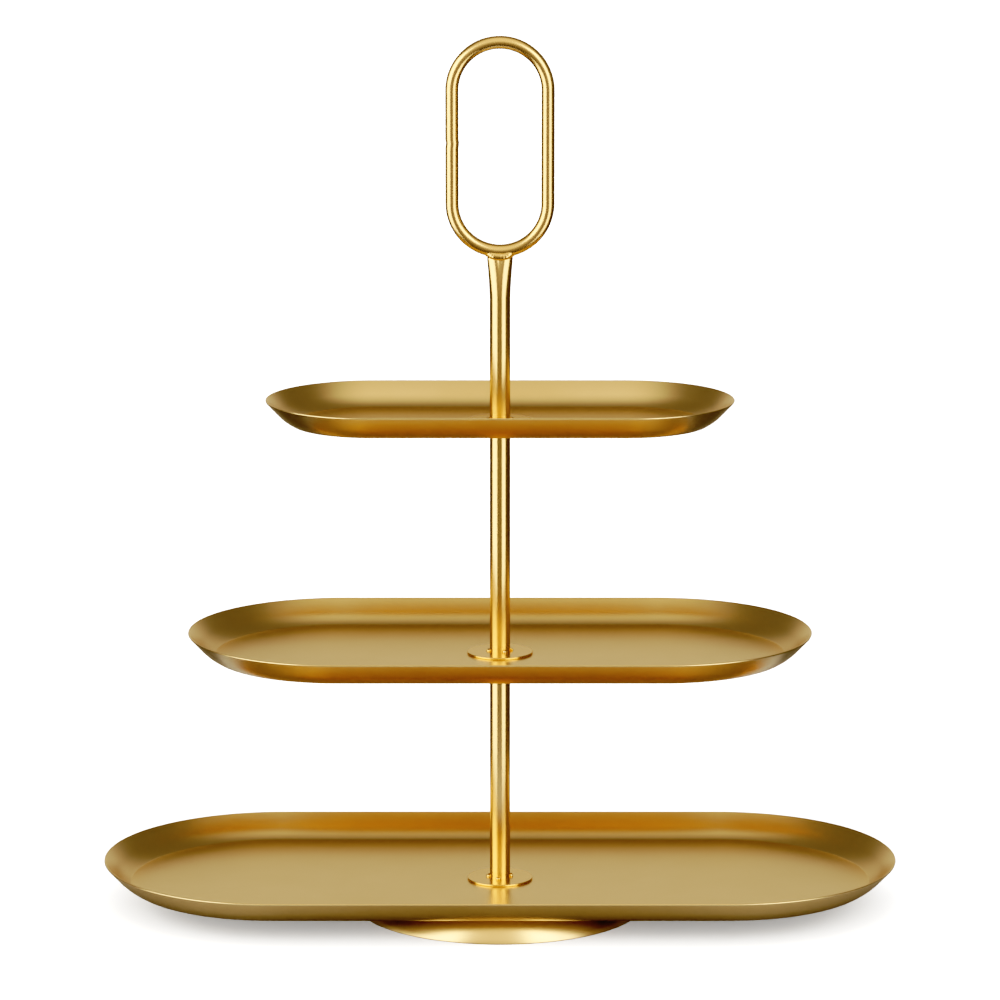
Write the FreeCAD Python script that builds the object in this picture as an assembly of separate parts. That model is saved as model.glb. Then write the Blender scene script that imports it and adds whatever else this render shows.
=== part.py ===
import FreeCAD, Part
import math
import os

# Three-tier oval cake stand: pressed steel trays on a screwed tube stem, over a round pressed foot,
# with a bent wire loop to carry it by. All of it has a satin gold finish except the hidden hardware.
#
# Frame: millimetres, +Z up, +X along the trays. The origin is on the table, on the stem's axis.

# Trays: length along X and width along Y, over the rim
BOTTOM_TRAY_LENGTH = 372.4
BOTTOM_TRAY_WIDTH = 161.8
MIDDLE_TRAY_LENGTH = 291.0
MIDDLE_TRAY_WIDTH = 141.2
TOP_TRAY_LENGTH = 217.0
TOP_TRAY_WIDTH = 99.6
TRAY_DEPTH = 11.5          # underside of the floor to the top of the rim
TRAY_SHEET = 0.8           # thickness of the sheet

# Pressing of the trays
WALL_SPREAD = 12.4         # from the rim in to the crease round the flat floor
WALL_LEAN = 47.0           # degrees that the wall's straight upper stretch rises from level
WALL_RADIUS = 24.5         # bulge of the wall below that stretch, at the middle of the sheet
CREASE_RADIUS = 1.2        # inside bend between the floor and the wall, of the foot too

# Foot: a round dish, upside down
FOOT_DIAMETER = 134.6
FOOT_HEIGHT = 11.7
FOOT_SHEET = 0.8
FOOT_WALL_SPREAD = 7.0     # the foot's wall stands steeper than a tray's
FOOT_WALL_LEAN = 68.0
FOOT_WALL_RADIUS = 30.0
FOOT_EDGE_CUT = 0.15       # ground off the rim so that the foot stands flat

# Stem tubes
TUBE_DIAMETER = 9.5
TUBE_WALL = 1.0
LOWER_TUBE_LENGTH = 107.4
MIDDLE_TUBE_LENGTH = 108.0
UPPER_TUBE_LENGTH = 75.8
PINCH_LENGTH = 18.8        # the upper tube's top end is squeezed to carry the loop
PINCH_SPREAD = 2.4         # how much wider the squeeze makes its end, along X
PINCH_FLATTEN = 3.1        # how much thinner the squeeze makes its end, along Y
PINCH_EASE = 0.4           # share of the squeeze that is reached half way up it

# Flange disc welded to the foot of each tube
DISC_DIAMETER = 30.6
DISC_THICKNESS = 1.0
TACK_RADIUS = 1.7          # weld beads between a tube and its disc
LOWER_TACK_ANGLES = (5, 95, 180, 262)
MIDDLE_TACK_ANGLES = (15, 100, 185, 297)
UPPER_TACK_ANGLES = (12, 98, 190, 275)

# Screwed joints: a stud with a plug end in the foot of each tube, a threaded insert in the head
THREAD_DIAMETER = 6.0      # M6, drawn as a plain cylinder
THREAD_CLEARANCE = 0.05    # radial, between a stud and the thread that it is screwed into
HOLE_CLEARANCE = 0.1       # radial, round a stud in a tray, a disc or the foot
PLUG_LENGTH = 10.0         # the part of a stud that is fixed inside its tube
THREAD_ENGAGEMENT = 12.0   # stud thread inside an insert
INSERT_LENGTH = 15.0

# Hardware under the foot
WASHER_DIAMETER = 18.0
WASHER_THICKNESS = 1.6
WASHER_HOLE_CLEARANCE = 0.2
NUT_WIDTH = 10.0           # across the flats
NUT_HEIGHT = 5.0
STUD_TIP = 0.8             # stud thread that stands out past the nut

# Carrying loop
LOOP_WIDTH = 50.0          # along X, over the wire
LOOP_HEIGHT = 102.0        # along Z, over the wire
WIRE_DIAMETER = 6.0
LOOP_WELD_DROP = 2.6       # how far the weld runs down the squeezed tube
LOOP_WELD_SKIN = 0.45      # weld metal over the tube, all round
LOOP_WELD_RISE = 0.3       # how far above the wire's axis the weld climbs
LOOP_WELD_FLARE = 1.35     # how far the weld's top reaches past the tube at each side, along X
LOOP_WELD_COVER = 0.6      # weld metal over the front and back of the wire, along Y

# Heights of the seats, each built on the one below
FLOOR_STACK = TRAY_SHEET + DISC_THICKNESS
BOTTOM_TRAY_Z = FOOT_HEIGHT
LOWER_TUBE_Z = BOTTOM_TRAY_Z + FLOOR_STACK
MIDDLE_TRAY_Z = LOWER_TUBE_Z + LOWER_TUBE_LENGTH
MIDDLE_TUBE_Z = MIDDLE_TRAY_Z + FLOOR_STACK
TOP_TRAY_Z = MIDDLE_TUBE_Z + MIDDLE_TUBE_LENGTH
UPPER_TUBE_Z = TOP_TRAY_Z + FLOOR_STACK
LOOP_Z = UPPER_TUBE_Z + UPPER_TUBE_LENGTH

TUBE_RADIUS = TUBE_DIAMETER / 2
TUBE_BORE_RADIUS = TUBE_RADIUS - TUBE_WALL
STUD_RADIUS = THREAD_DIAMETER / 2
HOLE_RADIUS = STUD_RADIUS + HOLE_CLEARANCE
WIRE_RADIUS = WIRE_DIAMETER / 2
PINCH_WIDTH = TUBE_DIAMETER + PINCH_SPREAD
PINCH_THICKNESS = TUBE_DIAMETER - PINCH_FLATTEN

MARGIN = 1.0               # how far a cutting tool runs past what it cuts
ORIGIN = FreeCAD.Vector(0, 0, 0)
UP = FreeCAD.Vector(0, 0, 1)
ALONG_X = FreeCAD.Vector(1, 0, 0)
ALONG_Y = FreeCAD.Vector(0, 1, 0)


def rod(radius, bottom, top):
    """A plain cylinder on the stem's axis, between two heights."""
    return Part.makeCylinder(radius, top - bottom, FreeCAD.Vector(0, 0, bottom))


def ring(outer_radius, inner_radius, bottom, top):
    """A plain ring on the stem's axis, between two heights."""
    hole = rod(inner_radius, bottom - MARGIN, top + MARGIN)
    return rod(outer_radius, bottom, top).cut(hole)


def section_point(radius, height):
    """A point of a section drawn in the XZ plane."""
    return FreeCAD.Vector(radius, 0, height)


def around(centre, radius, angle):
    """The point of the XZ plane at an angle, in radians from +X, on a circle."""
    return centre + section_point(radius * math.cos(angle), radius * math.sin(angle))


def section_arc(centre, radius, start, end):
    """An arc edge in the XZ plane, between two angles in radians from +X."""
    middle = around(centre, radius, (start + end) / 2)
    return Part.Arc(around(centre, radius, start), middle, around(centre, radius, end)).toShape()


def dish_section(rim_radius, depth, sheet, wall_spread, wall_lean, wall_radius):
    """Half section of a pressed dish: flat floor, bent crease, bulging wall that ends straight, round edge.

    The floor's underside is at Z = 0, its centre at X = 0, and the edge reaches rim_radius and depth.
    """
    crease = section_point(rim_radius - wall_spread, sheet / 2)
    edge = section_point(rim_radius - sheet / 2, depth - sheet / 2)
    lean = math.radians(wall_lean)
    up_wall = section_point(math.cos(lean), math.sin(lean))
    inward = section_point(-math.sin(lean), math.cos(lean))
    chord = edge - crease
    along = chord.dot(up_wall)
    straight = along - math.sqrt(along ** 2 - chord.Length ** 2 - 2 * wall_radius * chord.dot(inward))
    wall = edge - up_wall * straight + inward * wall_radius
    edge_angle = lean - math.pi / 2

    bend_z = sheet + CREASE_RADIUS
    bend_reach = wall_radius - sheet / 2 - CREASE_RADIUS
    bend = section_point(wall.x + math.sqrt(bend_reach ** 2 - (wall.z - bend_z) ** 2), bend_z)
    bend_angle = math.atan2(bend.z - wall.z, bend.x - wall.x)

    outer = wall_radius + sheet / 2
    inner = wall_radius - sheet / 2
    straight_down = -math.pi / 2
    centre_top = section_point(0, sheet)
    outer_edge = around(edge, sheet / 2, edge_angle)
    inner_edge = around(edge, sheet / 2, edge_angle + math.pi)
    edges = [
        Part.LineSegment(ORIGIN, section_point(bend.x, 0)).toShape(),
        section_arc(bend, CREASE_RADIUS + sheet, straight_down, bend_angle),
        section_arc(wall, outer, bend_angle, edge_angle),
        Part.LineSegment(around(wall, outer, edge_angle), outer_edge).toShape(),
        section_arc(edge, sheet / 2, edge_angle, edge_angle + math.pi),
        Part.LineSegment(inner_edge, around(wall, inner, edge_angle)).toShape(),
        section_arc(wall, inner, edge_angle, bend_angle),
        section_arc(bend, CREASE_RADIUS, bend_angle, straight_down),
        Part.LineSegment(section_point(bend.x, sheet), centre_top).toShape(),
        Part.LineSegment(centre_top, ORIGIN).toShape(),
    ]
    return Part.Face(Part.Wire(edges))


def oval_tray(length, width, bottom):
    """A tray with straight sides and half-round ends, with a hole for the stud at its centre."""
    end_radius = width / 2
    straight = length - width
    section = dish_section(end_radius, TRAY_DEPTH, TRAY_SHEET, WALL_SPREAD, WALL_LEAN, WALL_RADIUS)
    front_section = section.rotated(ORIGIN, UP, -90)
    right_end = front_section.revolve(ORIGIN, UP, 180).translated(ALONG_X * (straight / 2))
    front_side = front_section.extrude(ALONG_X * straight).translated(ALONG_X * (-straight / 2))
    turned = [shape.rotated(ORIGIN, UP, 180) for shape in (right_end, front_side)]
    blank = right_end.fuse([front_side] + turned).removeSplitter()
    tray = blank.cut(rod(HOLE_RADIUS, -MARGIN, TRAY_SHEET + MARGIN))
    return tray.translated(UP * bottom)


def foot():
    """The round foot: a pressed dish turned upside down, with its rim ground flat."""
    rim_radius = FOOT_DIAMETER / 2
    depth = FOOT_HEIGHT + FOOT_EDGE_CUT
    section = dish_section(rim_radius, depth, FOOT_SHEET, FOOT_WALL_SPREAD, FOOT_WALL_LEAN, FOOT_WALL_RADIUS)
    dish = section.revolve(ORIGIN, UP, 360).rotated(ORIGIN, ALONG_X, 180).translated(UP * FOOT_HEIGHT)
    standing = dish.common(rod(FOOT_DIAMETER, 0, FOOT_HEIGHT + MARGIN))
    return standing.cut(rod(HOLE_RADIUS, 0, FOOT_HEIGHT + MARGIN))


def plain_tube(bottom, length):
    """A straight stem tube, open at both ends."""
    return ring(TUBE_RADIUS, TUBE_BORE_RADIUS, bottom, bottom + length)


def oval_wire(width, thickness, height):
    """A level ellipse on the stem's axis, or a circle where its two sizes are the same."""
    centre = UP * height
    if width == thickness:
        return Part.Wire(Part.Circle(centre, UP, width / 2).toShape())
    major, minor = max(width, thickness) / 2, min(width, thickness) / 2
    ellipse = Part.Ellipse(centre, major, minor).toShape()
    return Part.Wire(ellipse if width > thickness else ellipse.rotated(centre, UP, 90))


def squeezed_bar(diameter, end_width, end_thickness, bottom, top):
    """A round bar that turns into a flattened oval at its top end."""
    half_way = (bottom + top) / 2
    middle = oval_wire(
        diameter + (end_width - diameter) * PINCH_EASE,
        diameter + (end_thickness - diameter) * PINCH_EASE,
        half_way,
    )
    round_end = oval_wire(diameter, diameter, bottom)
    oval_end = oval_wire(end_width, end_thickness, top)
    return Part.makeLoft([round_end, middle, oval_end], True)


def upper_tube():
    """The stem's top tube: straight, then squeezed to an oval that the loop is welded on."""
    pinch_start = LOOP_Z - PINCH_LENGTH
    straight = plain_tube(UPPER_TUBE_Z, pinch_start - UPPER_TUBE_Z)
    bore = squeezed_bar(
        TUBE_BORE_RADIUS * 2, PINCH_WIDTH - 2 * TUBE_WALL, PINCH_THICKNESS - 2 * TUBE_WALL,
        pinch_start, LOOP_Z,
    )
    return straight.fuse(pinched_outside().cut(bore)).removeSplitter()


def pinched_outside():
    """The outer shape of the squeezed tube end, filled in."""
    return squeezed_bar(TUBE_DIAMETER, PINCH_WIDTH, PINCH_THICKNESS, LOOP_Z - PINCH_LENGTH, LOOP_Z)


def loop():
    """The carrying loop: round wire bent to a long ring with half-round ends, standing on edge."""
    bend_radius = (LOOP_WIDTH - WIRE_DIAMETER) / 2
    leg = LOOP_HEIGHT - LOOP_WIDTH
    lower_centre = UP * (LOOP_Z + LOOP_WIDTH / 2)
    upper_centre = lower_centre + UP * leg
    wire_start = lower_centre + ALONG_X * bend_radius
    section = Part.Face(Part.Wire(Part.Circle(wire_start, UP, WIRE_RADIUS).toShape()))
    right_leg = section.extrude(UP * leg)
    lower_bend = section.revolve(lower_centre, ALONG_Y, 180)
    left_leg = right_leg.rotated(lower_centre, UP, 180)
    upper_bend = lower_bend.rotated((lower_centre + upper_centre) / 2, ALONG_Y, 180)
    return right_leg.fuse([lower_bend, left_leg, upper_bend]).removeSplitter()


def loop_weld():
    """The weld between the squeezed tube end and the loop, flaring up round the wire."""
    low = oval_wire(
        PINCH_WIDTH + LOOP_WELD_SKIN, PINCH_THICKNESS + LOOP_WELD_SKIN, LOOP_Z - LOOP_WELD_DROP
    )
    middle = oval_wire(PINCH_WIDTH + 2 * LOOP_WELD_SKIN, PINCH_THICKNESS + 2 * LOOP_WELD_SKIN, LOOP_Z)
    high = oval_wire(
        PINCH_WIDTH + 2 * LOOP_WELD_FLARE, WIRE_DIAMETER + 2 * LOOP_WELD_COVER,
        LOOP_Z + WIRE_RADIUS + LOOP_WELD_RISE,
    )
    flare = Part.makeLoft([low, middle, high], True)
    return flare.cut([pinched_outside(), loop()])


def tube_disc(tray_bottom):
    """The flange disc that clamps a tray's floor, on top of it."""
    seat = tray_bottom + TRAY_SHEET
    return ring(DISC_DIAMETER / 2, HOLE_RADIUS, seat, seat + DISC_THICKNESS)


def tack_welds(tube_bottom, angles):
    """Weld beads in the corner between a tube's foot and its disc."""
    tube = rod(TUBE_RADIUS, tube_bottom - MARGIN, tube_bottom + 2 * TACK_RADIUS)
    disc = rod(DISC_DIAMETER / 2, tube_bottom - DISC_THICKNESS - MARGIN, tube_bottom)
    beads = []
    for angle in angles:
        centre = FreeCAD.Vector(TUBE_RADIUS, 0, tube_bottom)
        bead = Part.makeSphere(TACK_RADIUS, centre).rotated(ORIGIN, UP, angle)
        beads.append(bead.cut([tube, disc]))
    return Part.makeCompound(beads)


def stud(tube_bottom, thread_reach):
    """A turned stud: a plug fixed in a tube's foot, and a thread that reaches down out of it."""
    plug = rod(TUBE_BORE_RADIUS, tube_bottom, tube_bottom + PLUG_LENGTH)
    thread = rod(STUD_RADIUS, tube_bottom - thread_reach, tube_bottom)
    return plug.fuse(thread).removeSplitter()


def insert(tube_top):
    """A threaded bush fixed flush in a tube's head, for the stud of the tube above."""
    return ring(TUBE_BORE_RADIUS, STUD_RADIUS + THREAD_CLEARANCE, tube_top - INSERT_LENGTH, tube_top)


def foot_washer(top):
    """The plain washer under the foot."""
    return ring(WASHER_DIAMETER / 2, STUD_RADIUS + WASHER_HOLE_CLEARANCE, top - WASHER_THICKNESS, top)


def foot_nut(top):
    """The hexagon nut that holds the foot and the bottom tray to the lower stud."""
    corner_radius = NUT_WIDTH / math.sqrt(3)
    corners = [FreeCAD.Vector(corner_radius, 0, top - NUT_HEIGHT)]
    for turn in range(60, 361, 60):
        corners.append(FreeCAD.Rotation(UP, turn).multVec(corners[0]))
    hexagon = Part.Face(Part.makePolygon(corners)).extrude(UP * NUT_HEIGHT)
    return hexagon.cut(rod(STUD_RADIUS + THREAD_CLEARANCE, 0, top + MARGIN))


def pieces():
    """Every piece of the stand, by name."""
    joint_reach = FLOOR_STACK + THREAD_ENGAGEMENT
    washer_top = FOOT_HEIGHT - FOOT_SHEET
    nut_top = washer_top - WASHER_THICKNESS
    foot_reach = LOWER_TUBE_Z - nut_top + NUT_HEIGHT + STUD_TIP
    return {
        "foot": foot(),
        "foot_washer": foot_washer(washer_top),
        "foot_nut": foot_nut(nut_top),
        "bottom_tray": oval_tray(BOTTOM_TRAY_LENGTH, BOTTOM_TRAY_WIDTH, BOTTOM_TRAY_Z),
        "middle_tray": oval_tray(MIDDLE_TRAY_LENGTH, MIDDLE_TRAY_WIDTH, MIDDLE_TRAY_Z),
        "top_tray": oval_tray(TOP_TRAY_LENGTH, TOP_TRAY_WIDTH, TOP_TRAY_Z),
        "lower_disc": tube_disc(BOTTOM_TRAY_Z),
        "middle_disc": tube_disc(MIDDLE_TRAY_Z),
        "upper_disc": tube_disc(TOP_TRAY_Z),
        "lower_tube": plain_tube(LOWER_TUBE_Z, LOWER_TUBE_LENGTH),
        "middle_tube": plain_tube(MIDDLE_TUBE_Z, MIDDLE_TUBE_LENGTH),
        "upper_tube": upper_tube(),
        "lower_tack_welds": tack_welds(LOWER_TUBE_Z, LOWER_TACK_ANGLES),
        "middle_tack_welds": tack_welds(MIDDLE_TUBE_Z, MIDDLE_TACK_ANGLES),
        "upper_tack_welds": tack_welds(UPPER_TUBE_Z, UPPER_TACK_ANGLES),
        "lower_stud": stud(LOWER_TUBE_Z, foot_reach),
        "middle_stud": stud(MIDDLE_TUBE_Z, joint_reach),
        "upper_stud": stud(UPPER_TUBE_Z, joint_reach),
        "lower_insert": insert(MIDDLE_TRAY_Z),
        "middle_insert": insert(TOP_TRAY_Z),
        "carrying_loop": loop(),
        "loop_weld": loop_weld(),
    }


def main():
    os.makedirs("parts", exist_ok=True)
    for name, shape in pieces().items():
        shape.exportStep(f"parts/{name}.step")
        print(f"{name}: {len(shape.Solids)} solid(s), {shape.Volume:.1f} mm3")


main()
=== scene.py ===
import math

import bmesh
import bpy
from mathutils import Matrix, Vector, noise


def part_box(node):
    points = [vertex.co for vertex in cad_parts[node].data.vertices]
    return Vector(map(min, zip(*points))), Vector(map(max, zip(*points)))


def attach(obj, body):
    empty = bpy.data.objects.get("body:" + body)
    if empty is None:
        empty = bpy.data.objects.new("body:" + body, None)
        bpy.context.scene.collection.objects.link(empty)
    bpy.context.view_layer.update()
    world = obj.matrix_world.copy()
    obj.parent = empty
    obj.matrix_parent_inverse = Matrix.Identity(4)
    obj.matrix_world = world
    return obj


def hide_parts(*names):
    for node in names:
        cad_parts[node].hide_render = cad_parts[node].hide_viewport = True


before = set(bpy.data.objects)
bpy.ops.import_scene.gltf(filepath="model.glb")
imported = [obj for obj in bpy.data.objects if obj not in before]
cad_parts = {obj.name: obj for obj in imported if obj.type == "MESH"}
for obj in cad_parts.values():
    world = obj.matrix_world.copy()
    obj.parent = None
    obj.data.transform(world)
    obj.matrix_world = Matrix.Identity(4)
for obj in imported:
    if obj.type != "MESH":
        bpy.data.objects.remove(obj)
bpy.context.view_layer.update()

# Three-tier oval cake stand in satin gold, on the frame of its CAD model. Metres, +Z up, +X along the trays.

MM = 0.001

# Pressing of the trays and of the foot, whose wall stands steeper. spread: from the rim in to the crease;
# lean: rise of the wall's straight upper stretch; bulge: radius of the wall below it
TRAY_WALL = {"spread": 12.4 * MM, "lean": math.radians(47.0), "bulge": 24.5 * MM}
FOOT_WALL = {"spread": 7.0 * MM, "lean": math.radians(68.0), "bulge": 30.0 * MM}
PRESSED_SHEET = 0.8 * MM     # thickness of the trays and the foot
CREASE_RADIUS = 1.2 * MM     # inside bend at the crease
FLAT_LEAD = 4.0 * MM         # flat sheet swept with the edge, inside the crease
FACET_LENGTH = 2.3 * MM      # of a tray's outline
FOOT_DIAMETER = 134.6 * MM
FOOT_EDGE_CUT = 0.15 * MM    # ground off the foot's rim so that it stands flat
STUD_HOLE_RADIUS = 3.1 * MM
WASHER_HOLE_RADIUS = 3.2 * MM
ROUND_LEAD = 1.5 * MM        # of a disc or washer, swept with its edge
DISC_SOFTENING = 0.22 * MM   # punched corner of a flange disc
WASHER_SOFTENING = 0.15 * MM

TUBE_RADIUS = 4.75 * MM
TUBE_WALL = 1.0 * MM
PINCH_LENGTH = 18.8 * MM     # squeezed end of the upper tube
PINCH_WIDTH = 11.9 * MM
PINCH_THICKNESS = 6.4 * MM
PINCH_EASE = 1.35            # how slowly the squeeze sets in
DENT_DEPTH = 0.55 * MM       # of the dies' V, at the tube's top
DENT_REACH = 2.3 * MM        # half its width there

WIRE_RADIUS = 3.0 * MM
BUTT_WELD_HEIGHT = 361 * MM  # where the wire's two ends meet, on the left side
BUTT_WELD_KINK = 0.25 * MM
BUTT_WELD_REACH = 2.2 * MM   # of the kink along the wire, each way

NUT_HALF_FLATS = 5.0         # the nut and the studs are in millimetres
NUT_HEIGHT = 5.0
NUT_BORE = 3.05
COUNTERSINK = 0.45
THREAD_RADIUS = 3.0
THREAD_PITCH = 1.0
THREAD_DEPTH = 0.6
PLUG_RADIUS = 3.75

FULL_ROUND = 0.4999999       # share of a width that rounds its ends fully


# ---------------------------------------------------------------- helpers

def add(tree, kind, settings=None, **inputs):
    """Adds a node with its settings. Inputs are values, sockets or lists of them, by name or by _number."""
    node = tree.nodes.new(kind)
    for name, value in (settings or {}).items():
        setattr(node, name, value)
    for name, value in inputs.items():
        socket = node.inputs[int(name[1:])] if name[0] == "_" else node.inputs[name.replace("_", " ")]
        for source in value if isinstance(value, list) else [value]:
            if isinstance(source, bpy.types.NodeSocket):
                tree.links.new(source, socket)
            else:
                socket.default_value = source
    return node


def linear(hex_colour):
    """An sRGB hex colour as linear red, green, blue and alpha."""
    values = [int(hex_colour[i:i + 2], 16) / 255 for i in (0, 2, 4)]
    return tuple(v / 12.92 if v <= 0.04045 else ((v + 0.055) / 1.055) ** 2.4 for v in values) + (1.0,)


def geometry_tree(name, sizes):
    """A new Geometry Nodes tree with named inputs, and its input sockets."""
    kinds = {"Finish": "NodeSocketMaterial", "Points": "NodeSocketInt", "Seed": "NodeSocketInt"}
    tree = bpy.data.node_groups.new(name, "GeometryNodeTree")
    tree.interface.new_socket("Start", in_out="INPUT", socket_type="NodeSocketGeometry")
    for size in sizes:
        tree.interface.new_socket(size, in_out="INPUT", socket_type=kinds.get(size, "NodeSocketFloat"))
    tree.interface.new_socket("Piece", in_out="OUTPUT", socket_type="NodeSocketGeometry")
    return tree, add(tree, "NodeGroupInput").outputs


def close_tree(tree, geometry, finish):
    """The end of every tree: real geometry, in its finish."""
    real = add(tree, "GeometryNodeRealizeInstances", Geometry=geometry).outputs[0]
    dressed = add(tree, "GeometryNodeSetMaterial", Geometry=real, Material=finish).outputs[0]
    add(tree, "NodeGroupOutput", Piece=dressed)
    return tree


def point_mesh(name, points, joined=True):
    """A mesh of bare points, joined in a row by edges or loose."""
    mesh = bpy.data.meshes.new(name)
    mesh.from_pydata(points, [(i, i + 1) for i in range(len(points) - 1)] if joined else [], [])
    return mesh


def plain_mesh(holder):
    """The plain mesh that an object's modifiers make. The object goes."""
    mesh = bpy.data.meshes.new_from_object(holder.evaluated_get(bpy.context.evaluated_depsgraph_get()))
    holder.modifiers.clear()
    bpy.data.objects.remove(holder)
    return mesh


def grown(name, start, tree, sizes):
    """The plain mesh that a tree makes from a starting mesh."""
    holder = bpy.data.objects.new(name, start)
    bpy.context.scene.collection.objects.link(holder)
    modifier = holder.modifiers.new("shape", "NODES")
    modifier.node_group = tree
    for item in tree.interface.items_tree:
        if item.in_out == "INPUT" and item.name in sizes:
            modifier[item.identifier] = sizes[item.name]
    return plain_mesh(holder)


def set_out(name, mesh, body, slot, finish, up=0.0, over=False, corner=40):
    """Puts a mesh in its node's place as a finished piece: closed, facing out, smooth between corners."""
    shape = bmesh.new()
    shape.from_mesh(mesh)
    if over:
        bmesh.ops.transform(shape, verts=shape.verts, matrix=Matrix.Rotation(math.pi, 4, "X"))
    bmesh.ops.translate(shape, verts=shape.verts, vec=(0, 0, up))
    bmesh.ops.remove_doubles(shape, verts=shape.verts, dist=1e-6)
    bmesh.ops.recalc_face_normals(shape, faces=shape.faces)
    for face in shape.faces:
        face.smooth = True
        face.material_index = 0
    for edge in shape.edges:
        edge.smooth = edge.calc_face_angle(0) < math.radians(corner)
    shape.to_mesh(mesh)
    shape.free()
    mesh.materials.clear()
    mesh.materials.append(finish)
    piece = bpy.data.objects.new(name, mesh)
    bpy.context.scene.collection.objects.link(piece)
    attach(piece, body)
    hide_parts(name)


def circle(radius, count):
    """Points of a level circle."""
    turns = [2 * math.pi * i / count for i in range(count)]
    return [(radius * math.cos(turn), radius * math.sin(turn)) for turn in turns]


def at_height(z, points):
    """Level points at a height."""
    return [(x, y, z) for x, y in points]


def ring_stack(rings, close_ends=True):
    """The skin over a stack of rings, each with the same count of points."""
    shape = bmesh.new()
    rows = [[shape.verts.new(point) for point in ring] for ring in rings]
    count = len(rows[0])
    for low, high in zip(rows, rows[1:]):
        for i in range(count):
            shape.faces.new((low[i], low[(i + 1) % count], high[(i + 1) % count], high[i]))
    if close_ends:
        shape.faces.new(rows[0][::-1])
        shape.faces.new(rows[-1])
    mesh = bpy.data.meshes.new("skin")
    shape.to_mesh(mesh)
    shape.free()
    return mesh


# ---------------------------------------------------------------- finishes

CLOUDS = 0.045 / MM    # clouds of tone, about 22 mm across
GRAIN = 0.7 / MM       # change of gloss, about 1.4 mm across
SWAY = 0.022 / MM      # hills and hollows of pressed sheet, about 45 mm across


def satin_metal(name, light, dark, roughness, spread, peel_mm, peel_depth_mm, sway_mm=0.0):
    """Satin plated metal: soft sheen, faint clouds of tone, fine peel, and a slow sway of the sheet."""
    material = bpy.data.materials.new(name)
    material.use_nodes = True
    tree = material.node_tree
    tree.nodes.clear()
    place = add(tree, "ShaderNodeTexCoord").outputs["Object"]
    clouds = add(tree, "ShaderNodeTexNoise", Vector=place, Scale=CLOUDS, Detail=3.0).outputs["Fac"]
    tone = add(tree, "ShaderNodeMix", {"data_type": "RGBA"}, Factor=clouds,
               _6=linear(dark), _7=linear(light)).outputs[2]
    grain = add(tree, "ShaderNodeTexNoise", Vector=place, Scale=GRAIN, Detail=2.0).outputs["Fac"]
    gloss = add(tree, "ShaderNodeMapRange", _0=grain, _1=0.3, _2=0.7,
                _3=roughness - spread, _4=roughness + spread).outputs[0]
    sway = add(tree, "ShaderNodeTexNoise", Vector=place, Scale=SWAY, Detail=0.0).outputs["Fac"]
    slow = add(tree, "ShaderNodeBump", Strength=1.0, Distance=sway_mm * MM, Height=sway).outputs[0]
    peel = add(tree, "ShaderNodeTexNoise", Vector=place, Scale=1 / (peel_mm * MM), Detail=2.0).outputs["Fac"]
    skin = add(tree, "ShaderNodeBump", Strength=1.0, Distance=peel_depth_mm * MM, Height=peel,
               Normal=slow).outputs[0]
    shader = add(tree, "ShaderNodeBsdfPrincipled", Base_Color=tone, Metallic=1.0, Roughness=gloss,
                 Normal=skin)
    add(tree, "ShaderNodeOutputMaterial", Surface=shader.outputs[0])
    return material


# Trays and foot: pressed steel with a matt brass-gold plating. It mirrors the room as broad blurred bands,
# and the slow sway of the sheet keeps those bands from running dead straight.
GOLD_SHEET = satin_metal("satin_gold_pressed_steel", "F9DDAB", "F3D6A0", 0.29, 0.008, 0.9, 0.0001, 0.05)

# Flange discs: the same plating on punched plate, a little brighter, so a disc stands off its tray's floor.
GOLD_DISC = satin_metal("satin_gold_punched_steel", "F9D79C", "F3CF92", 0.24, 0.01, 0.9, 0.0001)

# Stem: the same plating on drawn tube, smooth along its length, which gives crisp bright and dark stripes.
GOLD_TUBE = satin_metal("satin_gold_drawn_tube", "FAD89F", "F4D095", 0.25, 0.01, 0.7, 0.00002)

# Loop: the same plating on bent wire, a touch softer, so the stripes run into each other at the bends.
GOLD_WIRE = satin_metal("satin_gold_bent_wire", "FAD89F", "F4D095", 0.27, 0.01, 0.6, 0.00002)

# Welds: the same plating over bare weld metal, uneven in tone and gloss, so each bead twinkles in spots.
GOLD_WELD = satin_metal("satin_gold_raw_weld", "F9D79C", "EDC588", 0.27, 0.03, 0.8, 0.002)

# Studs, bushes, washer and nut: bright zinc on turned steel, a cool grey shine that says bought hardware.
ZINC = satin_metal("bright_zinc_turned_steel", "DADDE0", "CACDD1", 0.28, 0.04, 0.3, 0.003)


# ---------------------------------------------------------------- sheet pieces

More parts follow.
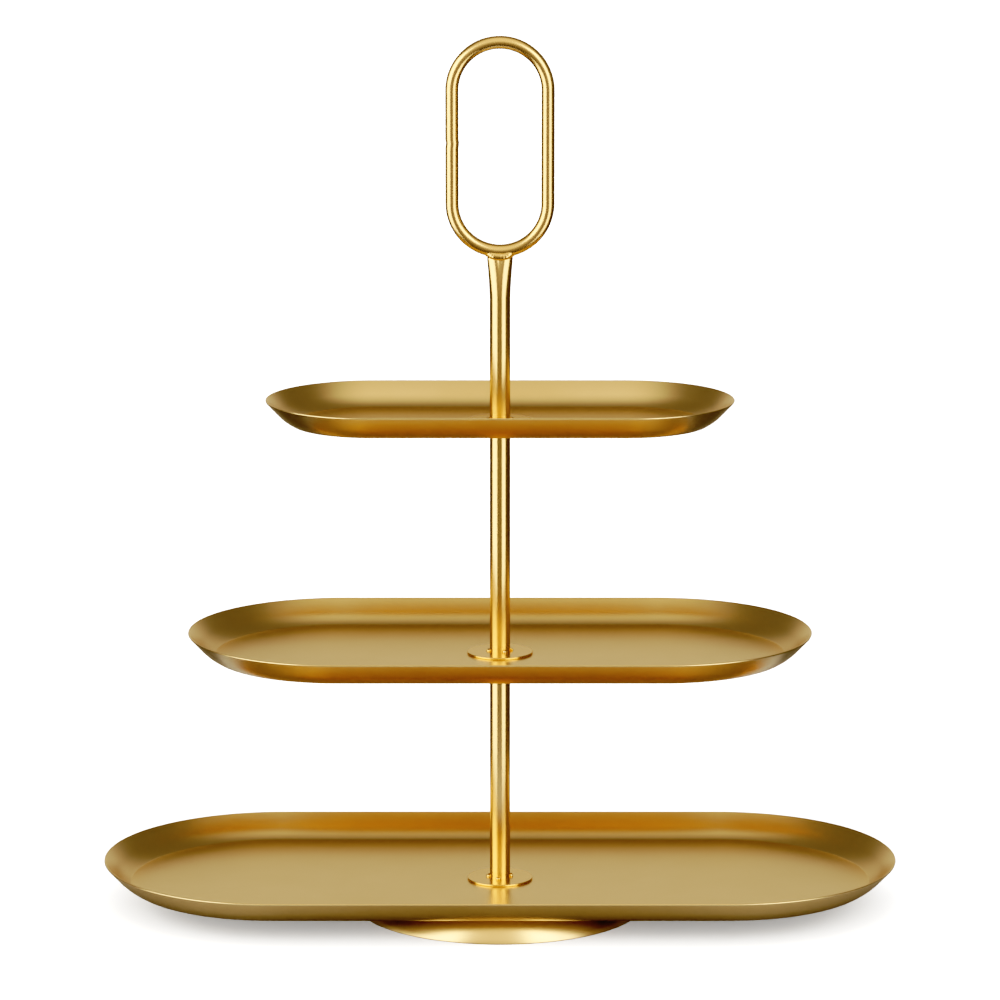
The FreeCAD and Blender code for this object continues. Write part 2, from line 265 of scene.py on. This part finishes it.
def sheet_tree():
    """Geometry Nodes: sweeps an edge section round a level oval, and fills the sheet inside but for a hole."""
    sizes = ["Length", "Width", "Points", "Sheet", "Hole Radius", "Finish"]
    tree, given = geometry_tree("sheet_with_swept_edge", sizes)
    corner = add(tree, "ShaderNodeMath", {"operation": "MULTIPLY"}, _0=given["Width"],
                 _1=FULL_ROUND).outputs[0]
    oval = add(tree, "GeometryNodeCurvePrimitiveQuadrilateral", _0=given["Length"],
               _1=given["Width"]).outputs[0]
    oval = add(tree, "GeometryNodeFilletCurve", {"mode": "POLY"}, _0=oval, _1=200, _2=corner,
               _3=False).outputs[0]
    oval = add(tree, "GeometryNodeResampleCurve", {"mode": "COUNT"}, Curve=oval,
               Count=given["Points"]).outputs[0]
    section = add(tree, "GeometryNodeMeshToCurve", Mesh=given["Start"]).outputs[0]
    edge = add(tree, "GeometryNodeCurveToMesh", Curve=oval, Profile_Curve=section).outputs[0]
    hole = add(tree, "GeometryNodeCurvePrimitiveCircle", Resolution=64,
               Radius=given["Hole Radius"]).outputs[0]
    outline = add(tree, "GeometryNodeJoinGeometry", Geometry=[oval, hole]).outputs[0]
    under = add(tree, "GeometryNodeFillCurve", Curve=outline).outputs[0]
    lift = add(tree, "ShaderNodeCombineXYZ", Z=given["Sheet"]).outputs[0]
    over = add(tree, "GeometryNodeTransform", Geometry=under, Translation=lift).outputs[0]
    through = add(tree, "ShaderNodeCombineXYZ", X=1.0, Y=1.0, Z=given["Sheet"]).outputs[0]
    post = add(tree, "GeometryNodeCurvePrimitiveLine", Start=(0, 0, 0), End=(0, 0, 1)).outputs[0]
    post = add(tree, "GeometryNodeTransform", Geometry=post, Scale=through).outputs[0]
    bore = add(tree, "GeometryNodeCurveToMesh", Curve=post, Profile_Curve=hole).outputs[0]
    whole = add(tree, "GeometryNodeJoinGeometry", Geometry=[edge, under, over, bore]).outputs[0]
    return close_tree(tree, whole, given["Finish"])


SHEET_TREE = sheet_tree()


def arc(centre_x, centre_z, radius, start, end, step=9):
    """Points of an arc of a section, between two angles in radians from +X."""
    count = max(2, math.ceil(abs(end - start) / math.radians(step)))
    angles = [start + (end - start) * i / count for i in range(count + 1)]
    return [(centre_x + radius * math.cos(a), centre_z + radius * math.sin(a)) for a in angles]


def dish_edge(depth, spread, lean, bulge):
    """Section of a pressed dish's edge, from the top of its floor, over the rim and back to its underside."""
    sheet = PRESSED_SHEET
    crease = Vector((FLAT_LEAD, sheet / 2))
    edge = crease + Vector((spread - sheet / 2, depth - sheet))
    up_wall = Vector((math.cos(lean), math.sin(lean)))
    inward = Vector((-up_wall.y, up_wall.x))
    chord = edge - crease
    along, aside = chord.dot(up_wall), chord.dot(inward)
    straight = along - math.sqrt(along ** 2 - chord.length_squared - 2 * bulge * aside)
    wall = edge - up_wall * straight + inward * bulge
    edge_angle = lean - math.pi / 2
    bend_z = sheet + CREASE_RADIUS
    reach = bulge - sheet / 2 - CREASE_RADIUS
    bend_x = wall.x + math.sqrt(reach ** 2 - (wall.y - bend_z) ** 2)
    bend_angle = math.atan2(bend_z - wall.y, bend_x - wall.x)
    down = -math.pi / 2
    lead = bend_x - 0.25 * MM
    return (
        [(0, sheet), (lead, sheet)]
        + arc(bend_x, bend_z, CREASE_RADIUS, down, bend_angle)
        + arc(wall.x, wall.y, bulge - sheet / 2, bend_angle, edge_angle, 2.5)[1:]
        + arc(edge.x, edge.y, sheet / 2, edge_angle + math.pi, edge_angle, 22)
        + arc(wall.x, wall.y, bulge + sheet / 2, edge_angle, bend_angle, 2.5)
        + arc(bend_x, bend_z, CREASE_RADIUS + sheet, bend_angle, down)[1:]
        + [(lead, 0), (0, 0)]
    )


def punched_edge(sheet, softening):
    """Section of a punched or turned flat piece's edge, its two corners slightly rounded."""
    middle = ROUND_LEAD - softening
    lead = middle - 0.05 * MM
    return (
        [(0, sheet), (lead, sheet)]
        + arc(middle, sheet - softening, softening, math.pi / 2, 0, 22)
        + arc(middle, softening, softening, 0, -math.pi / 2, 22)
        + [(lead, 0), (0, 0)]
    )


def sheet_piece(name, section, flat, points, sheet, hole, **place):
    """A piece with the given edge section outside a flat oval, given as its length and width."""
    start = point_mesh(name, [(x, -z, 0) for x, z in section])
    sizes = {"Length": flat[0], "Width": flat[1], "Points": points, "Sheet": sheet, "Hole Radius": hole}
    mesh = grown(name, start, SHEET_TREE, {**sizes, "Finish": place["finish"]})
    set_out(name, mesh, **place)


def pressed_tray(node):
    """One oval tray, pressed from a single sheet."""
    low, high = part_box(node)
    margin = 2 * (TRAY_WALL["spread"] + FLAT_LEAD)
    length, width = (high - low)[:2]
    points = 4 * round((2 * (length - width) + math.pi * width) / (4 * FACET_LENGTH))
    section = dish_edge(high.z - low.z, **TRAY_WALL)
    sheet_piece(node, section, (length - margin, width - margin), points, PRESSED_SHEET, STUD_HOLE_RADIUS,
                body=node, slot="gold_sheet", finish=GOLD_SHEET, up=low.z)


def pressed_foot():
    """The round foot: a pressed dish upside down, its rim ground flat where it stands."""
    low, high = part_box("foot")
    height = high.z - low.z
    across = FOOT_DIAMETER - 2 * (FOOT_WALL["spread"] + FLAT_LEAD)
    section = [(x, min(z, height)) for x, z in dish_edge(height + FOOT_EDGE_CUT, **FOOT_WALL)]
    sheet_piece("foot", section, (across, across), 240, PRESSED_SHEET, STUD_HOLE_RADIUS,
                body="stem", slot="gold_sheet", finish=GOLD_SHEET, up=high.z, over=True)


def flat_round(node, softening, hole, slot, finish):
    """A flange disc or a washer."""
    low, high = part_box(node)
    across = high.x - low.x - 2 * ROUND_LEAD
    sheet = high.z - low.z
    sheet_piece(node, punched_edge(sheet, softening), (across, across), 128, sheet, hole,
                body="stem", slot=slot, finish=finish, up=low.z)


for tray in ("bottom_tray", "middle_tray", "top_tray"):
    pressed_tray(tray)
pressed_foot()
for disc in ("lower_disc", "middle_disc", "upper_disc"):
    flat_round(disc, DISC_SOFTENING, STUD_HOLE_RADIUS, "gold_disc", GOLD_DISC)
flat_round("foot_washer", WASHER_SOFTENING, WASHER_HOLE_RADIUS, "zinc_steel", ZINC)


# ---------------------------------------------------------------- carrying loop

def wire_tree():
    """Geometry Nodes: a long ring of round wire on edge, slightly kinked where its ends are butt welded."""
    sizes = ["Height", "Width", "Wire Radius", "Points", "Weld Height", "Kink", "Finish"]
    tree, given = geometry_tree("bent_wire_ring", sizes)
    corner = add(tree, "ShaderNodeMath", {"operation": "MULTIPLY"}, _0=given["Width"],
                 _1=FULL_ROUND).outputs[0]
    ring = add(tree, "GeometryNodeCurvePrimitiveQuadrilateral", _0=given["Width"],
               _1=given["Height"]).outputs[0]
    ring = add(tree, "GeometryNodeFilletCurve", {"mode": "POLY"}, _0=ring, _1=120, _2=corner,
               _3=False).outputs[0]
    ring = add(tree, "GeometryNodeResampleCurve", {"mode": "COUNT"}, Curve=ring,
               Count=given["Points"]).outputs[0]
    place = add(tree, "ShaderNodeSeparateXYZ",
                Vector=add(tree, "GeometryNodeInputPosition").outputs[0]).outputs
    left = add(tree, "FunctionNodeCompare", {"operation": "LESS_THAN"}, _0=place[0], _1=0.0).outputs[0]
    away = add(tree, "ShaderNodeMath", {"operation": "SUBTRACT"}, _0=place[1],
               _1=given["Weld Height"]).outputs[0]
    away = add(tree, "ShaderNodeMath", {"operation": "ABSOLUTE"}, _0=away).outputs[0]
    near = add(tree, "ShaderNodeMapRange", {"interpolation_type": "SMOOTHSTEP"}, _0=away,
               _1=0.0, _2=BUTT_WELD_REACH, _3=1.0, _4=0.0).outputs[0]
    near = add(tree, "ShaderNodeMath", {"operation": "MULTIPLY"}, _0=near, _1=left).outputs[0]
    shift = add(tree, "ShaderNodeMath", {"operation": "MULTIPLY"}, _0=near, _1=given["Kink"]).outputs[0]
    shift = add(tree, "ShaderNodeCombineXYZ", X=shift).outputs[0]
    ring = add(tree, "GeometryNodeSetPosition", Geometry=ring, Offset=shift).outputs[0]
    section = add(tree, "GeometryNodeCurvePrimitiveCircle", Resolution=44,
                  Radius=given["Wire Radius"]).outputs[0]
    wire = add(tree, "GeometryNodeCurveToMesh", Curve=ring, Profile_Curve=section).outputs[0]
    upright = add(tree, "GeometryNodeTransform", Geometry=wire, Rotation=(math.pi / 2, 0, 0)).outputs[0]
    return close_tree(tree, upright, given["Finish"])


def carrying_loop():
    """The loop to carry the stand by, bent from one length of wire."""
    low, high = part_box("carrying_loop")
    size = high - low
    middle = (low.z + high.z) / 2
    sizes = {
        "Height": size.z - 2 * WIRE_RADIUS,
        "Width": size.x - 2 * WIRE_RADIUS,
        "Wire Radius": WIRE_RADIUS,
        "Points": 300,
        "Weld Height": BUTT_WELD_HEIGHT - middle,
        "Kink": BUTT_WELD_KINK,
        "Finish": GOLD_WIRE,
    }
    mesh = grown("carrying_loop", point_mesh("start", [(0, 0, 0)]), wire_tree(), sizes)
    set_out("carrying_loop", mesh, "stem", "gold_wire", GOLD_WIRE, up=middle)


carrying_loop()


# ---------------------------------------------------------------- squeezed tube end

def squeezed_ring(width, thickness, dent, dent_reach, count):
    """A level oval of points, dented at the front and the back."""
    points = []
    for i in range(count):
        turn = 2 * math.pi * i / count
        x, y = width / 2 * math.cos(turn), thickness / 2 * math.sin(turn)
        inside = max(0.0, 1 - abs(x) / dent_reach)
        points.append((x, y - math.copysign(dent * inside * inside * (3 - 2 * inside), y)))
    return points


def upper_tube():
    """The top tube: round, then squeezed oval between two dies that leave a dent like a V, front and back."""
    low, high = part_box("upper_tube")
    start = high.z - PINCH_LENGTH
    heights = [low.z, start - 1 * MM] + [start + PINCH_LENGTH * i / 40 for i in range(41)]
    outer, inner = [], []
    for z in heights:
        squeeze = max(0.0, (z - start) / PINCH_LENGTH) ** PINCH_EASE
        width = 2 * TUBE_RADIUS + (PINCH_WIDTH - 2 * TUBE_RADIUS) * squeeze
        thickness = 2 * TUBE_RADIUS + (PINCH_THICKNESS - 2 * TUBE_RADIUS) * squeeze
        dent = (DENT_DEPTH * squeeze ** 2, max(0.5 * MM, DENT_REACH * squeeze), 96)
        outer.append(at_height(z, squeezed_ring(width, thickness, *dent)))
        inner.append(at_height(z, squeezed_ring(width - 2 * TUBE_WALL, thickness - 2 * TUBE_WALL, *dent)))
    mesh = ring_stack(outer + inner[::-1] + outer[:1], close_ends=False)
    set_out("upper_tube", mesh, "stem", "gold_tube", GOLD_TUBE)


upper_tube()


# ---------------------------------------------------------------- welds

def bead_tree():
    """Geometry Nodes: an uneven weld bead on each point, each of its own size and turn."""
    tree, given = geometry_tree("weld_beads", ["Bead Radius", "Unevenness", "Seed", "Finish"])
    ball = add(tree, "GeometryNodeMeshIcoSphere", Radius=given["Bead Radius"], Subdivisions=5).outputs[0]
    turn = add(tree, "FunctionNodeRandomValue", {"data_type": "FLOAT_VECTOR"}, _0=(0, 0, 0),
               _1=(6.28, 6.28, 6.28), Seed=given["Seed"]).outputs[0]
    size = add(tree, "FunctionNodeRandomValue", {"data_type": "FLOAT_VECTOR"}, _0=(0.8, 0.8, 0.75),
               _1=(1.05, 1.05, 1.0), Seed=given["Seed"]).outputs[0]
    beads = add(tree, "GeometryNodeInstanceOnPoints", Points=given["Start"], Instance=ball,
                Rotation=turn, Scale=size).outputs[0]
    real = add(tree, "GeometryNodeRealizeInstances", Geometry=beads).outputs[0]
    place = add(tree, "GeometryNodeInputPosition").outputs[0]
    lumps = add(tree, "ShaderNodeTexNoise", Scale=0.6 / MM, Detail=1.0, Vector=place).outputs["Fac"]
    lumps = add(tree, "ShaderNodeMath", {"operation": "SUBTRACT"}, _0=lumps, _1=0.55).outputs[0]
    lumps = add(tree, "ShaderNodeMath", {"operation": "MULTIPLY"}, _0=lumps,
                _1=given["Unevenness"]).outputs[0]
    outward = add(tree, "GeometryNodeInputNormal").outputs[0]
    push = add(tree, "ShaderNodeVectorMath", {"operation": "SCALE"}, _0=outward, Scale=lumps).outputs[0]
    beads = add(tree, "GeometryNodeSetPosition", Geometry=real, Offset=push).outputs[0]
    return close_tree(tree, beads, given["Finish"])


BEAD_TREE = bead_tree()


def tack_welds(node, disc, angles, seed):
    """The tack welds in the corner between a tube's foot and its disc, at these angles in degrees."""
    out = TUBE_RADIUS + 0.35 * MM
    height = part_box(disc)[1].z + 0.1 * MM
    spots = [(out * math.cos(math.radians(a)), out * math.sin(math.radians(a)), height) for a in angles]
    sizes = {"Bead Radius": 1.35 * MM, "Unevenness": 0.9 * MM, "Seed": seed, "Finish": GOLD_WELD}
    mesh = grown(node, point_mesh(node, spots, joined=False), BEAD_TREE, sizes)
    set_out(node, mesh, "stem", "gold_weld", GOLD_WELD, corner=80)


tack_welds("lower_tack_welds", "lower_disc", (5, 95, 180, 262), 3)
tack_welds("middle_tack_welds", "middle_disc", (15, 100, 185, 297), 5)
tack_welds("upper_tack_welds", "upper_disc", (12, 98, 190, 275), 8)


def loop_weld_beads():
    """The beads of the loop's weld in millimetres, as x, y, height over the tube's end, and radius."""
    beads = []
    for i in range(24):
        turn = 2 * math.pi * i / 24
        uneven = noise.noise(Vector((i * 1.7, 4.2, 9.1)))
        side = math.cos(turn)
        rise = 0.6 + 0.25 * uneven + 2.1 * abs(side) ** 3
        beads.append((4.9 * side, 1.7 * math.sin(turn), rise, 2.15 + 0.1 * uneven))
    core = [1.25 * i for i in range(-4, 5)]   # under the wire, from side to side
    drips = (-1.9, 0.0, 2.0)                  # on the front and the back of the tube
    beads += [(x, 0.0, 0.8 + 0.07 * x ** 2, 2.5) for x in core]
    beads += [(0.3 * face + x, face * (2.3 - 0.25 * abs(x)), 0.1 + 0.25 * abs(x), 1.25)
              for face in (-1, 1) for x in drips]
    return beads


def loop_weld():
    """The weld that joins the squeezed tube end to the loop: beads melted together, higher at each side."""
    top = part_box("upper_tube")[1].z
    shape = bmesh.new()
    for x, y, z, radius in loop_weld_beads():
        bmesh.ops.create_icosphere(shape, subdivisions=3, radius=radius * MM,
                                   matrix=Matrix.Translation((x * MM, y * MM, top + z * MM)))
    mesh = bpy.data.meshes.new("loop_weld")
    shape.to_mesh(mesh)
    shape.free()
    holder = bpy.data.objects.new("beads", mesh)
    bpy.context.scene.collection.objects.link(holder)
    melt = holder.modifiers.new("melt", "REMESH")
    melt.mode = "VOXEL"
    melt.voxel_size = 0.2 * MM
    settle = holder.modifiers.new("settle", "SMOOTH")
    settle.factor = 0.5
    settle.iterations = 20
    set_out("loop_weld", plain_mesh(holder), "stem", "gold_weld", GOLD_WELD, corner=80)


loop_weld()


# ---------------------------------------------------------------- hardware under the foot

def foot_nut():
    """The hexagon nut, its corners turned off and its thread countersunk."""
    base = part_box("foot_nut")[0].z
    turned = NUT_HALF_FLATS * 0.95
    mouth = NUT_BORE + COUNTERSINK
    turns = [2 * math.pi * i / 120 for i in range(120)]
    sixth, twelfth = math.pi / 3, math.pi / 6
    hexagon = [NUT_HALF_FLATS / math.cos((turn + twelfth) % sixth - twelfth) for turn in turns]
    drop = [max(0.0, reach - turned) * math.tan(math.radians(30)) for reach in hexagon]
    low = [(reach, fall) for reach, fall in zip(hexagon, drop)]
    high = [(reach, NUT_HEIGHT - fall) for reach, fall in zip(hexagon, drop)]
    rows = [[(radius, z)] * 120 for radius, z in ((NUT_BORE, COUNTERSINK), (mouth, 0), (turned, 0))]
    rows += [low, high]
    rows += [[(radius, z)] * 120 for radius, z in
             ((turned, NUT_HEIGHT), (mouth, NUT_HEIGHT), (NUT_BORE, NUT_HEIGHT - COUNTERSINK))]
    rings = []
    for row in rows:
        rings.append([(r * MM * math.cos(turn), r * MM * math.sin(turn), base + z * MM)
                      for turn, (r, z) in zip(turns, row)])
    mesh = ring_stack(rings + rings[:1], close_ends=False)
    set_out("foot_nut", mesh, "stem", "zinc_steel", ZINC, corner=14)


def thread_ring(z, tip, count):
    """A level ring through the thread, at z millimetres; tip grows from 0 to 1 over the stud's lead."""
    radii = []
    for i in range(count):
        phase = (z / THREAD_PITCH - i / count) % 1.0
        groove = THREAD_DEPTH * abs(phase - 0.5) * 2
        radii.append(min(THREAD_RADIUS - groove, 2.25 + 0.75 * tip) * MM)
    turns = [2 * math.pi * i / count for i in range(count)]
    return [(radius * math.cos(turn), radius * math.sin(turn)) for radius, turn in zip(radii, turns)]


def lower_stud():
    """The lower stud: a plug for the tube, and an M6 thread of 1 mm pitch down through the nut."""
    low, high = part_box("lower_stud")
    thread_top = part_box("lower_disc")[1].z
    count, per_turn = 48, 10
    steps = int((thread_top - low.z) / MM * per_turn)
    heights = [low.z + 0.25 * MM] + [low.z + s / per_turn * MM for s in range(3, steps + 1)]
    rings = [at_height(low.z, circle(2.2 * MM, count))]
    for z in heights:
        tip = min(1.0, (z - low.z) / (0.8 * MM))
        rings.append(at_height(z, thread_ring(z / MM, tip, count)))
    plug = PLUG_RADIUS * MM
    for z, radius in ((thread_top + 0.01 * MM, plug - 0.2 * MM), (thread_top + 0.2 * MM, plug),
                      (high.z - 0.4 * MM, plug), (high.z, plug - 0.4 * MM)):
        rings.append(at_height(z, circle(radius, count)))
    set_out("lower_stud", ring_stack(rings), "stem", "zinc_steel", ZINC, corner=50)


foot_nut()
lower_stud()


# ---------------------------------------------------------------- pieces that keep their CAD shape

KEPT_AS_BUILT = {
    "lower_tube": GOLD_TUBE,
    "middle_tube": GOLD_TUBE,
    "middle_stud": ZINC,
    "upper_stud": ZINC,
    "lower_insert": ZINC,
    "middle_insert": ZINC,
}
for node, finish in KEPT_AS_BUILT.items():
    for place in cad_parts[node].material_slots:
        place.material = finish


# ---------------------------------------------------------------- floor, light and camera

def floor_paint(name):
    """Matt white board. It glows a little for the eye, and the gold mirrors it grey: darker and warm in the
    middle, which is painted shade under the stand, and cooler farther out, which is painted cool light.

    It has no light sampling of its own, which would speckle the metal.
    """
    material = bpy.data.materials.new(name)
    material.use_nodes = True
    material.cycles.emission_sampling = "NONE"
    tree = material.node_tree
    tree.nodes.clear()
    mirrored = add(tree, "ShaderNodeLightPath").outputs["Is Glossy Ray"]
    place = add(tree, "ShaderNodeTexCoord").outputs["Object"]
    # The darker middle is painted shade under the stand, a long oval along X, full within 0.06 m of the stem
    # to the front and gone by 0.15 m
    spot = add(tree, "ShaderNodeVectorMath", {"operation": "MULTIPLY"}, _0=place,
               _1=(0.45, 1.0, 0.0)).outputs[0]
    out = add(tree, "ShaderNodeVectorMath", {"operation": "LENGTH"}, _0=spot).outputs["Value"]
    clear_of_painted_shade = add(tree, "ShaderNodeMapRange", {"interpolation_type": "SMOOTHSTEP"}, _0=out,
              _1=0.06, _2=0.15).outputs[0]
    # The warm dark painted shade near the stand blends out into a cool grey of painted cool light
    grey = add(tree, "ShaderNodeMix", {"data_type": "RGBA"}, Factor=clear_of_painted_shade,
               _6=linear("5E5749"), _7=linear("8F939A")).outputs[2]
    paint = add(tree, "ShaderNodeMix", {"data_type": "RGBA"}, Factor=mirrored,
                _6=linear("F0F0EF"), _7=grey).outputs[2]
    board = add(tree, "ShaderNodeBsdfDiffuse", Color=paint).outputs[0]
    lift = add(tree, "ShaderNodeMapRange", _0=mirrored, _1=0.0, _2=1.0, _3=0.18, _4=0.0).outputs[0]
    glow = add(tree, "ShaderNodeEmission", Color=(1, 1, 1, 1), Strength=lift).outputs[0]
    both = add(tree, "ShaderNodeAddShader", _0=board, _1=glow).outputs[0]
    add(tree, "ShaderNodeOutputMaterial", Surface=both)
    return material


def floor(name, inner, outer, seen_in_gold):
    """A flat white ring of floor; seen_in_gold says whether the metal mirrors it."""
    shape = bmesh.new()
    rows = [[shape.verts.new((x, y, 0)) for x, y in circle(r, 96)] for r in (inner, outer) if r]
    if inner:
        for i in range(96):
            shape.faces.new((rows[0][i], rows[1][i], rows[1][(i + 1) % 96], rows[0][(i + 1) % 96]))
    else:
        shape.faces.new(rows[0])
    mesh = bpy.data.meshes.new(name)
    shape.to_mesh(mesh)
    shape.free()
    mesh.materials.append(floor_paint(name))
    ground = bpy.data.objects.new(name, mesh)
    bpy.context.scene.collection.objects.link(ground)
    ground.visible_glossy = seen_in_gold


floor("table_top", 0, 0.24, True)
floor("floor_beyond", 0.24, 12.0, False)


def toward_stand(azimuth, elevation):
    """The way from the stand to a light: azimuth 0 in front and 90 on the right, in degrees."""
    a, e = math.radians(azimuth), math.radians(elevation)
    return Vector((math.sin(a) * math.cos(e), -math.cos(a) * math.cos(e), math.sin(e)))


def studio():
    """White all round for the eye, an even light for the floor, and a dim warm room for the gold to mirror.

    It isn't sampled as a lamp, because its brightness differs from one kind of ray to the next.
    """
    world = bpy.data.worlds.new("studio")
    bpy.context.scene.world = world
    world.use_nodes = True
    world.cycles.sampling_method = "NONE"
    tree = world.node_tree
    tree.nodes.clear()
    ray = add(tree, "ShaderNodeLightPath").outputs
    toward = add(tree, "ShaderNodeTexCoord").outputs["Generated"]
    height = add(tree, "ShaderNodeSeparateXYZ", Vector=toward).outputs[2]

    def lit_patch(under, azimuth, elevation, edge, core, strength):
        """Adds a round soft patch of light to what is under it: full within core degrees, gone at edge."""
        near = add(tree, "ShaderNodeVectorMath", {"operation": "DOT_PRODUCT"}, _0=toward,
                   _1=toward_stand(azimuth, elevation)).outputs["Value"]
        gone, full = math.cos(math.radians(edge)), math.cos(math.radians(core))
        patch = add(tree, "ShaderNodeMapRange", {"interpolation_type": "SMOOTHSTEP"}, _0=near,
                    _1=gone, _2=full, _3=0.0, _4=strength).outputs[0]
        return add(tree, "ShaderNodeMath", {"operation": "ADD"}, _0=patch, _1=under).outputs[0]

    # Overhead and to the front, for the trays' back walls
    ceiling = lit_patch(0.15, 0, 54, 58, 15, 0.66)
    above = add(tree, "ShaderNodeMapRange", {"interpolation_type": "SMOOTHSTEP"}, _0=height,
                _1=-0.12, _2=0.10, _3=0.0, _4=1.0).outputs[0]
    room = add(tree, "ShaderNodeMix", {"data_type": "FLOAT"}, _0=above, _2=0.09, _3=ceiling).outputs[0]
    # Low behind, for the trays' floors and end walls
    room = lit_patch(room, 180, 5, 42, 10, 0.40)
    # Just under the front horizon, for the foot
    room = lit_patch(room, -3, -12, 25, 4, 0.14)
    # What lights the floor, mostly from the front, so that the shadow falls softly behind
    flood = lit_patch(0.75, 0, 35, 75, 20, 3.4)
    soft = add(tree, "ShaderNodeMix", {"data_type": "FLOAT"}, _0=ray["Is Diffuse Ray"], _2=room,
               _3=flood).outputs[0]
    seen = add(tree, "ShaderNodeMix", {"data_type": "FLOAT"}, _0=ray["Is Camera Ray"], _2=soft,
               _3=1.33).outputs[0]
    warmth = add(tree, "ShaderNodeMix", {"data_type": "RGBA"}, Factor=ray["Is Glossy Ray"],
                 _6=linear("FFFFFF"), _7=linear("FFF3DF")).outputs[2]
    background = add(tree, "ShaderNodeBackground", Color=warmth, Strength=seen)
    add(tree, "ShaderNodeOutputWorld", Surface=background.outputs[0])


def softbox(name, azimuth, width, radiance):
    """A tall soft panel that faces the stand. Its brightness is set as radiance."""
    height = 2.4
    light = bpy.data.lights.new(name, "AREA")
    light.shape = "RECTANGLE"
    light.size, light.size_y = width, height
    light.energy = radiance * math.pi * width * height
    light.color = linear("FFFBF2")[:3]
    lamp = bpy.data.objects.new(name, light)
    bpy.context.scene.collection.objects.link(lamp)
    out = toward_stand(azimuth, 5)
    lamp.location = Vector((0, 0, 0.2)) + out * 1.5
    lamp.rotation_mode = "QUATERNION"
    lamp.rotation_quaternion = out.to_track_quat("Z", "Y")
    lamp.visible_camera = False


studio()
softbox("left_softbox", -62, 1.75, 1.8)
softbox("right_softbox", 43, 1.15, 1.7)


def camera():
    """A long lens that looks down on the stand a little."""
    lens = bpy.data.cameras.new("camera")
    lens.sensor_width = 36
    lens.lens = 176.5
    lens.clip_start, lens.clip_end = 0.1, 50
    eye = bpy.data.objects.new("camera", lens)
    bpy.context.scene.collection.objects.link(eye)
    tilt = math.radians(11.48)
    back = Vector((0, -math.cos(tilt), math.sin(tilt)))
    eye.location = Vector((0, 0, 0.1945)) + back * 2.276
    eye.rotation_mode = "QUATERNION"
    eye.rotation_quaternion = back.to_track_quat("Z", "Y")
    bpy.context.scene.camera = eye


camera()


def print_tone():
    """The tone of a studio print: rounded highlights and deep shadows, channel by channel."""
    view = bpy.context.scene.view_settings
    view.view_transform = "Standard"
    view.use_curve_mapping = True
    mapping = view.curve_mapping
    mapping.white_level = (1.3, 1.3, 1.3)
    curve = mapping.curves[3]
    points = [(0.0, 0.0), (0.0385, 0.006), (0.0562, 0.029), (0.0806, 0.07), (0.115, 0.133), (0.165, 0.228),
              (0.237, 0.367), (0.34, 0.505), (0.487, 0.675), (0.698, 0.84), (1.0, 0.985)]
    curve.points[0].location = points[0]
    curve.points[-1].location = points[-1]
    for place in points[1:-1]:
        curve.points.new(*place)
    for point in curve.points:
        point.handle_type = "AUTO_CLAMPED"
    mapping.update()


print_tone()
